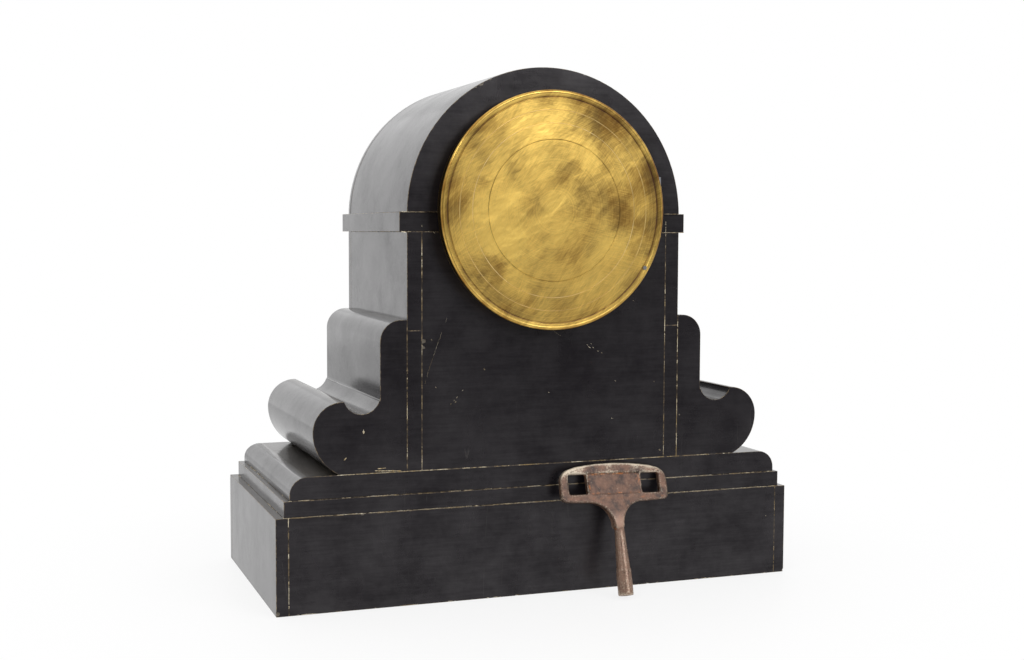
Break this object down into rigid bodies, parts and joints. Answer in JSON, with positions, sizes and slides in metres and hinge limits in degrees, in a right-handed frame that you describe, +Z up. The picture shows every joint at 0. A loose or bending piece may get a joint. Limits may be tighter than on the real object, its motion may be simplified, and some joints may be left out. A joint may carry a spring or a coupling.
{
  "type": "mantel clock",
  "caption": "Slate mantel clock with an arched top, stepped base, scroll supports at both sides, round brass rear cover, glazed front door and a loose winding key.",
  "frame": {"origin": "middle of the rest face under the base", "axes": "+X across to the right as seen from the dial side, +Y towards the rear cover, the dial faces -Y, +Z up"},
  "size_m": [0.34, 0.1963, 0.3258],
  "materials": {
    "slate": "honed black slate, a little dusty, with chipped edges and pale joint lines",
    "aged_brass": "old brass, satin, with brown tarnish blotches and fine turning marks",
    "brass": "clean satin brass",
    "steel": "plain turned steel",
    "blued_steel": "blued steel",
    "enamel": "white enamel dial",
    "glass": "clear bevelled glass",
    "bell_metal": "cast bell metal, turned",
    "worn_iron": "rusty brown iron with pale worn edges"
  },
  "bodies": {
    "case": {"base_front_slab": "slate", "base_back_slab": "slate", "base_left_slab": "slate", "base_right_slab": "slate", "base_bottom_slab": "slate", "fillet_slab": "slate", "plinth_slab": "slate", "scroll_left": "slate", "scroll_right": "slate", "lower_side_left": "slate", "lower_side_right": "slate", "upper_side_left": "slate", "upper_side_right": "slate", "back_panel": "slate", "front_panel": "slate", "band_left": "slate", "band_right": "slate", "arch_block": "slate", "rear_ring": "aged_brass", "rear_hinge_pin": "steel", "case_straps": "brass", "strap_screws": "blued_steel", "dial_ring": "brass", "dial": "enamel", "door_hinge_pin": "steel", "front_plate": "brass", "back_plate": "brass", "plate_pillars": "brass", "back_cock": "brass", "bell": "bell_metal", "bell_stand": "brass"},
    "rear_cover": {"rear_cover": "aged_brass", "cover_rivet": "steel"},
    "front_door": {"door_frame": "brass", "door_glass": "glass"},
    "minute_hand": {"minute_hand": "blued_steel", "cannon_pinion": "steel"},
    "hour_hand": {"hour_hand": "blued_steel", "hour_wheel": "brass"},
    "minute_wheel": {"minute_wheel": "brass"},
    "going_barrel": {"going_barrel": "brass"},
    "going_arbor": {"going_arbor": "steel"},
    "going_click": {"going_click": "steel"},
    "second_wheel": {"second_wheel": "brass"},
    "centre_wheel": {"centre_wheel": "brass"},
    "third_wheel": {"third_wheel": "brass"},
    "escape_wheel": {"escape_wheel": "brass"},
    "pallets": {"pallets": "steel"},
    "pendulum": {"pendulum_rod": "steel", "pendulum_bob": "aged_brass"},
    "rating_nut": {"rating_nut": "brass"},
    "strike_barrel": {"strike_barrel": "brass", "count_wheel": "brass"},
    "strike_arbor": {"strike_arbor": "steel"},
    "strike_click": {"strike_click": "steel"},
    "pin_wheel": {"pin_wheel": "brass"},
    "warning_wheel": {"warning_wheel": "brass"},
    "fly": {"fly": "brass"},
    "hammer": {"hammer": "steel"},
    "winding_key": {"winding_key": "worn_iron"}
  },
  "joints": [
    {"name": "rear_cover_hinge", "type": "hinge", "parent": "case", "child": "rear_cover", "pos_m": [-0.0736, 0.084, 0.2384], "axis": [0, 0, 1], "range_deg": [0, 115]},
    {"name": "front_door_hinge", "type": "hinge", "parent": "case", "child": "front_door", "pos_m": [0.0672, -0.0678, 0.2384], "axis": [0, 0, 1], "range_deg": [0, 110]},
    {"name": "minute_hand_turn", "type": "hinge", "parent": "case", "child": "minute_hand", "pos_m": [0, 0, 0.2384], "axis": [0, 1, 0], "continuous": true},
    {"name": "hour_hand_turn", "type": "hinge", "parent": "case", "child": "hour_hand", "pos_m": [0, 0, 0.2384], "axis": [0, 1, 0], "continuous": true},
    {"name": "minute_wheel_turn", "type": "hinge", "parent": "case", "child": "minute_wheel", "pos_m": [0, 0, 0.2504], "axis": [0, 1, 0], "continuous": true},
    {"name": "escape_wheel_turn", "type": "hinge", "parent": "case", "child": "escape_wheel", "pos_m": [0, 0, 0.2559], "axis": [0, 1, 0], "continuous": true},
    {"name": "third_wheel_turn", "type": "hinge", "parent": "case", "child": "third_wheel", "pos_m": [-0.01008, 0, 0.24761], "axis": [0, 1, 0], "continuous": true},
    {"name": "centre_wheel_turn", "type": "hinge", "parent": "case", "child": "centre_wheel", "pos_m": [0, 0, 0.2384], "axis": [0, 1, 0], "continuous": true},
    {"name": "second_wheel_turn", "type": "hinge", "parent": "case", "child": "second_wheel", "pos_m": [0.01194, 0, 0.24714], "axis": [0, 1, 0], "continuous": true},
    {"name": "going_barrel_turn", "type": "hinge", "parent": "case", "child": "going_barrel", "pos_m": [0.02, 0, 0.2274], "axis": [0, 1, 0], "continuous": true},
    {"name": "going_arbor_turn", "type": "hinge", "parent": "case", "child": "going_arbor", "pos_m": [0.02, 0, 0.2274], "axis": [0, 1, 0], "continuous": true},
    {"name": "going_click_lift", "type": "hinge", "parent": "case", "child": "going_click", "pos_m": [0.03316, 0, 0.22261], "axis": [0, -1, 0], "range_deg": [0, 12], "stiffness_Nm_per_rad": 0.0002, "springref_deg": -28.65},
    {"name": "fly_turn", "type": "hinge", "parent": "case", "child": "fly", "pos_m": [-0.01023, 0, 0.2653], "axis": [0, 1, 0], "continuous": true},
    {"name": "warning_wheel_turn", "type": "hinge", "parent": "case", "child": "warning_wheel", "pos_m": [-0.02059, 0, 0.26153], "axis": [0, 1, 0], "continuous": true},
    {"name": "pin_wheel_turn", "type": "hinge", "parent": "case", "child": "pin_wheel", "pos_m": [-0.02552, 0, 0.24799], "axis": [0, 1, 0], "continuous": true},
    {"name": "strike_barrel_turn", "type": "hinge", "parent": "case", "child": "strike_barrel", "pos_m": [-0.02, 0, 0.2274], "axis": [0, 1, 0], "continuous": true},
    {"name": "strike_arbor_turn", "type": "hinge", "parent": "case", "child": "strike_arbor", "pos_m": [-0.02, 0, 0.2274], "axis": [0, 1, 0], "continuous": true},
    {"name": "strike_click_lift", "type": "hinge", "parent": "case", "child": "strike_click", "pos_m": [-0.029, 0, 0.21668], "axis": [0, -1, 0], "range_deg": [0, 12], "stiffness_Nm_per_rad": 0.0002, "springref_deg": -28.65},
    {"name": "hammer_swing", "type": "hinge", "parent": "case", "child": "hammer", "pos_m": [-0.038, 0, 0.2374], "axis": [0, 1, 0], "range_deg": [0, 14], "stiffness_Nm_per_rad": 0.005, "springref_deg": -17.19},
    {"name": "pendulum_swing", "type": "hinge", "parent": "case", "child": "pendulum", "pos_m": [0, 0, 0.2694], "axis": [0, 1, 0], "range_deg": [-4, 4]},
    {"name": "pallet_swing", "type": "hinge", "parent": "case", "child": "pallets", "pos_m": [0, 0, 0.2694], "axis": [0, 1, 0], "range_deg": [-4, 4]},
    {"name": "rating_nut_turn", "type": "hinge", "parent": "pendulum", "child": "rating_nut", "pos_m": [0, 0, 0.1154], "axis": [0, 0, 1], "continuous": true},
    {"name": "winding_key_lift", "type": "slide", "parent": "case", "child": "winding_key", "axis": [0, 0.8, 0.6], "range_m": [0, 0.12]}
  ],
  "couplings": [
    {"joint": "hour_hand_turn", "follows": "minute_hand_turn", "ratio": 0.083333},
    {"joint": "minute_wheel_turn", "follows": "minute_hand_turn", "ratio": -0.33333},
    {"joint": "third_wheel_turn", "follows": "escape_wheel_turn", "ratio": -0.0875},
    {"joint": "centre_wheel_turn", "follows": "escape_wheel_turn", "ratio": 0.0072917},
    {"joint": "second_wheel_turn", "follows": "escape_wheel_turn", "ratio": -0.00088384},
    {"joint": "going_barrel_turn", "follows": "escape_wheel_turn", "ratio": 0.00012276},
    {"joint": "warning_wheel_turn", "follows": "fly_turn", "ratio": -0.125},
    {"joint": "pin_wheel_turn", "follows": "fly_turn", "ratio": 0.015625},
    {"joint": "strike_barrel_turn", "follows": "fly_turn", "ratio": -0.0021701},
    {"joint": "pallet_swing", "follows": "pendulum_swing", "ratio": 1}
  ]
}
